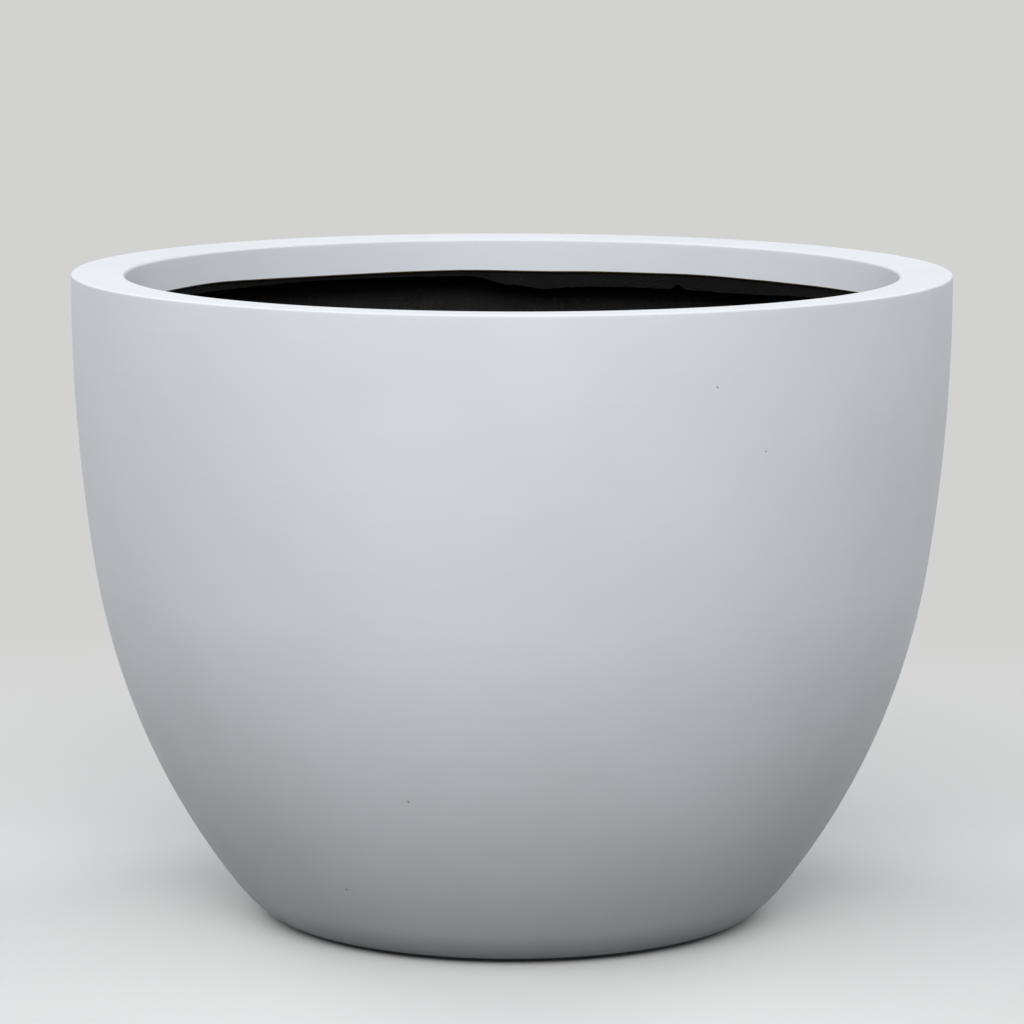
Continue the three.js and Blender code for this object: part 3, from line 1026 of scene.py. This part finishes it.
class AddFeet(bpy.types.Operator):
    """The rubber feet and their countersunk screws, modelled once and copied"""

    bl_idname = "planter.add_feet"
    bl_label = "Add Feet"

    groove_depth = 0.5 * MM
    groove_width = 1.2 * MM
    groove_radii = (9.0 * MM, 13.0 * MM, 17.0 * MM)
    pad_round = 0.9 * MM
    head_round = 0.3 * MM
    thread_pitch = 1.6 * MM
    thread_depth = 0.35 * MM
    root_shares = (0.4, 0.6)
    point_length = 3.0 * MM
    socket_depth = 1.2 * MM
    socket_sides = 6

    def foot(self, fittings):
        """A pad with ring grooves in its sole and a countersunk hole for its screw."""
        pad_radius = radius_of("foot_pad_1")
        hole, sink = fittings.screw_hole(), fittings.screw_head + FIT_GAP
        corners = [(sink, 0.0, 0.0)]
        for radius in self.groove_radii:
            corners += [
                (radius - self.groove_width, 0.0, 0.0),
                (radius - self.groove_width / 2.0, self.groove_depth, 0.0),
                (radius + self.groove_width / 2.0, self.groove_depth, 0.0),
                (radius + self.groove_width, 0.0, 0.0),
            ]
        corners += [
            (pad_radius, 0.0, self.pad_round),
            (pad_radius, PAD_TOP, 0.0),
            (hole, PAD_TOP, 0.0),
            (hole, SCREW_LOW + fittings.screw_head_height, 0.0),
            (sink, SCREW_LOW, 0.0),
        ]
        return turned("rubber_foot", eased(corners, ROUND_STEPS), FITTING_TURN, closed=True)

    def screw(self, fittings):
        """A countersunk screw with its point upwards, its thread drawn as rings, and a hexagon socket."""
        shank, tip = fittings.screw_radius, SCREW_HIGH - self.point_length
        corners = [
            (0.0, SCREW_LOW, 0.0),
            (fittings.screw_head, SCREW_LOW, self.head_round),
            (shank, SCREW_LOW + fittings.screw_head_height, 0.0),
        ]
        height = PAD_TOP + (CORE_BOTTOM - BOWL_BOTTOM)
        while height + self.thread_pitch < tip:
            corners.append((shank, height, 0.0))
            for share in self.root_shares:
                corners.append((shank - self.thread_depth, height + self.thread_pitch * share, 0.0))
            height += self.thread_pitch
        corners += [(shank, tip, 0.0), (0.0, SCREW_HIGH, 0.0)]
        screw = turned("foot_screw", eased(corners, SMALL_ROUND_STEPS), FITTING_TURN // 2)
        socket_top = SCREW_LOW + self.socket_depth
        drilled(screw, [(0.0, 0.0)], fittings.screw_socket, -SCREW_LOW, socket_top, self.socket_sides)
        return screw

    def execute(self, context):
        fittings = context.scene.planter_fittings
        rubber, steel = finish(moulded_rubber), finish(turned_steel)
        foot, screw = self.foot(fittings), self.screw(fittings)
        set_out(foot, "rubber_foot_{}", FEET, "planter", "black_rubber", rubber, "foot_pad_{}")
        set_out(screw, "countersunk_screw_{}", FEET, "planter", "stainless_steel", steel, "foot_screw_{}")
        return {"FINISHED"}


# ----------------------------------------------------------------------------------------------
# Stage
# ----------------------------------------------------------------------------------------------


class SetStage(bpy.types.Operator):
    """The camera at the photograph's angle, a plain pale floor and soft light"""

    bl_idname = "planter.set_stage"
    bl_label = "Set Stage"

    floor_radius = 60.0
    floor_sides = 128
    fade_start = 0.5
    fade_end = 1.7
    camera_reach = 200.0

    def camera(self, scene, studio):
        """The camera at the photograph's height, tilt and roll."""
        bpy.ops.object.select_all(action="DESELECT")
        place = (studio.camera_side, -studio.camera_distance, studio.camera_height)
        level = Matrix.Rotation(math.pi / 2.0 - studio.camera_tilt, 3, "X")
        look = level @ Matrix.Rotation(studio.camera_roll, 3, "Z")
        bpy.ops.object.camera_add(location=place, rotation=look.to_euler())
        camera = bpy.context.object
        camera.name = "photo_camera"
        camera.data.lens = studio.lens
        camera.data.clip_end = self.camera_reach
        scene.camera = camera

    def seen_and_cast(self, tree, seen, cast):
        """One shader for what the camera and reflections see, another for the light it casts."""
        path = add_node(tree, "ShaderNodeLightPath")
        looked_at = maths(tree, "MAXIMUM", path.outputs["Is Camera Ray"], path.outputs["Is Glossy Ray"])
        seen_ray = maths(tree, "MAXIMUM", looked_at, path.outputs["Is Transmission Ray"])
        return add_node(tree, "ShaderNodeMixShader", {0: seen_ray, 1: cast, 2: seen}).outputs[0]

    def floor(self, studio):
        """Matt seamless paper: pale to look at, darker in what it throws back at the bowl.

        It takes the bowl's shadow, and fades with distance into the even tone of the backdrop."""
        bpy.ops.object.select_all(action="DESELECT")
        outline = {"vertices": self.floor_sides, "radius": self.floor_radius}
        bpy.ops.mesh.primitive_circle_add(fill_type="NGON", **outline)
        floor = bpy.context.object
        floor.name = "studio_floor"
        material, tree, coordinates, output = new_material("Matt studio floor")
        paper = add_node(tree, "ShaderNodeBsdfDiffuse", {"Color": tuple(studio.floor)}).outputs[0]
        even = add_node(tree, "ShaderNodeEmission", {"Color": tuple(studio.backdrop)}).outputs[0]
        cast = add_node(tree, "ShaderNodeBsdfDiffuse", {"Color": tuple(studio.floor_bounce)}).outputs[0]
        away = add_node(tree, "ShaderNodeVectorMath", {0: coordinates}, operation="LENGTH").outputs["Value"]
        fade = ramp(tree, away, self.fade_start, self.fade_end)
        seen = add_node(tree, "ShaderNodeMixShader", {0: fade, 1: paper, 2: even}).outputs[0]
        tree.links.new(self.seen_and_cast(tree, seen, cast), output.inputs["Surface"])
        floor.data.materials.append(material)

    def sky(self, scene, studio):
        """An even backdrop to look at, and soft light from all round."""
        world = bpy.data.worlds.new("Soft sky")
        world.use_nodes = True
        tree = world.node_tree
        tree.nodes.clear()
        backdrop = {"Color": tuple(studio.backdrop), "Strength": 1.0}
        soft = {"Color": tuple(studio.sky), "Strength": studio.sky_strength}
        seen = add_node(tree, "ShaderNodeBackground", backdrop).outputs[0]
        cast = add_node(tree, "ShaderNodeBackground", soft).outputs[0]
        add_node(tree, "ShaderNodeOutputWorld", {"Surface": self.seen_and_cast(tree, seen, cast)})
        scene.world = world

    def soft_light(self, studio, name, degrees, watts):
        """A square soft light at some degrees from the front towards +X, aimed at the bowl."""
        aim = Vector((0.0, 0.0, SHELL_TOP / 2.0))
        turn, climb = math.radians(degrees), studio.light_climb
        level = math.cos(climb)
        towards = Vector((math.sin(turn) * level, -math.cos(turn) * level, math.sin(climb)))
        place = aim + studio.light_distance * towards
        bpy.ops.object.select_all(action="DESELECT")
        facing = towards.to_track_quat("Z", "Y").to_euler()
        bpy.ops.object.light_add(type="AREA", location=place, rotation=facing)
        light = bpy.context.object
        light.name = name
        light.data.shape = "SQUARE"
        light.data.size = studio.light_size
        light.data.energy = watts

    def execute(self, context):
        scene = context.scene
        studio = scene.planter_studio
        scene.view_settings.view_transform = "Standard"
        self.camera(scene, studio)
        self.floor(studio)
        self.sky(scene, studio)
        for name, degrees, watts in (
            ("front", 0.0, studio.front_power),
            ("front_left", -35.0, studio.front_left_power),
            ("front_right", 35.0, studio.front_right_power),
            ("left", -75.0, studio.left_power),
            ("right", 75.0, studio.right_power),
            ("back_left", -130.0, studio.back_power),
            ("back_right", 130.0, studio.back_power),
        ):
            self.soft_light(studio, f"soft_light_{name}", degrees, watts)
        return {"FINISHED"}


# ----------------------------------------------------------------------------------------------
# Panel and registration
# ----------------------------------------------------------------------------------------------

GROUPS = {
    "planter_bowl": PlanterBowl,
    "planter_rim": PlanterRim,
    "planter_fittings": PlanterFittings,
    "planter_colours": PlanterColours,
    "planter_studio": PlanterStudio,
}

OPERATORS = (
    SetStage,
    AddBowl,
    AddRim,
    AddBondingLaminate,
    AddInnerLaminate,
    FinishCore,
    AddDrains,
    AddFeet,
)


class PlanterPanel(bpy.types.Panel):
    """Lists the planter's sizes, colours, studio and pieces."""

    bl_idname = "VIEW3D_PT_planter"
    bl_label = "Bowl Planter"
    bl_space_type = "VIEW_3D"
    bl_region_type = "UI"
    bl_category = "Planter"

    def draw(self, context):
        for attribute in GROUPS:
            group = getattr(context.scene, attribute)
            box = self.layout.box()
            for name in group.__annotations__:
                box.prop(group, name)
        for operator in OPERATORS:
            self.layout.operator(operator.bl_idname)


def register():
    """Adds the planter's groups to the scene, and its operators and panel to Blender."""
    for group in GROUPS.values():
        bpy.utils.register_class(group)
    for name, group in GROUPS.items():
        setattr(bpy.types.Scene, name, bpy.props.PointerProperty(type=group))
    for operator in OPERATORS:
        bpy.utils.register_class(operator)
    bpy.utils.register_class(PlanterPanel)


def unregister():
    """Takes away what register adds."""
    bpy.utils.unregister_class(PlanterPanel)
    for operator in reversed(OPERATORS):
        bpy.utils.unregister_class(operator)
    for name in GROUPS:
        delattr(bpy.types.Scene, name)
    for group in reversed(GROUPS.values()):
        bpy.utils.unregister_class(group)


def main():
    """Sets the stage and makes every piece."""
    register()
    bpy.ops.planter.set_stage()
    bpy.ops.planter.add_bowl()
    bpy.ops.planter.add_rim()
    bpy.ops.planter.add_bonding_laminate()
    bpy.ops.planter.add_inner_laminate()
    bpy.ops.planter.finish_core()
    bpy.ops.planter.add_drains()
    bpy.ops.planter.add_feet()


if __name__ == "__main__":
    main()
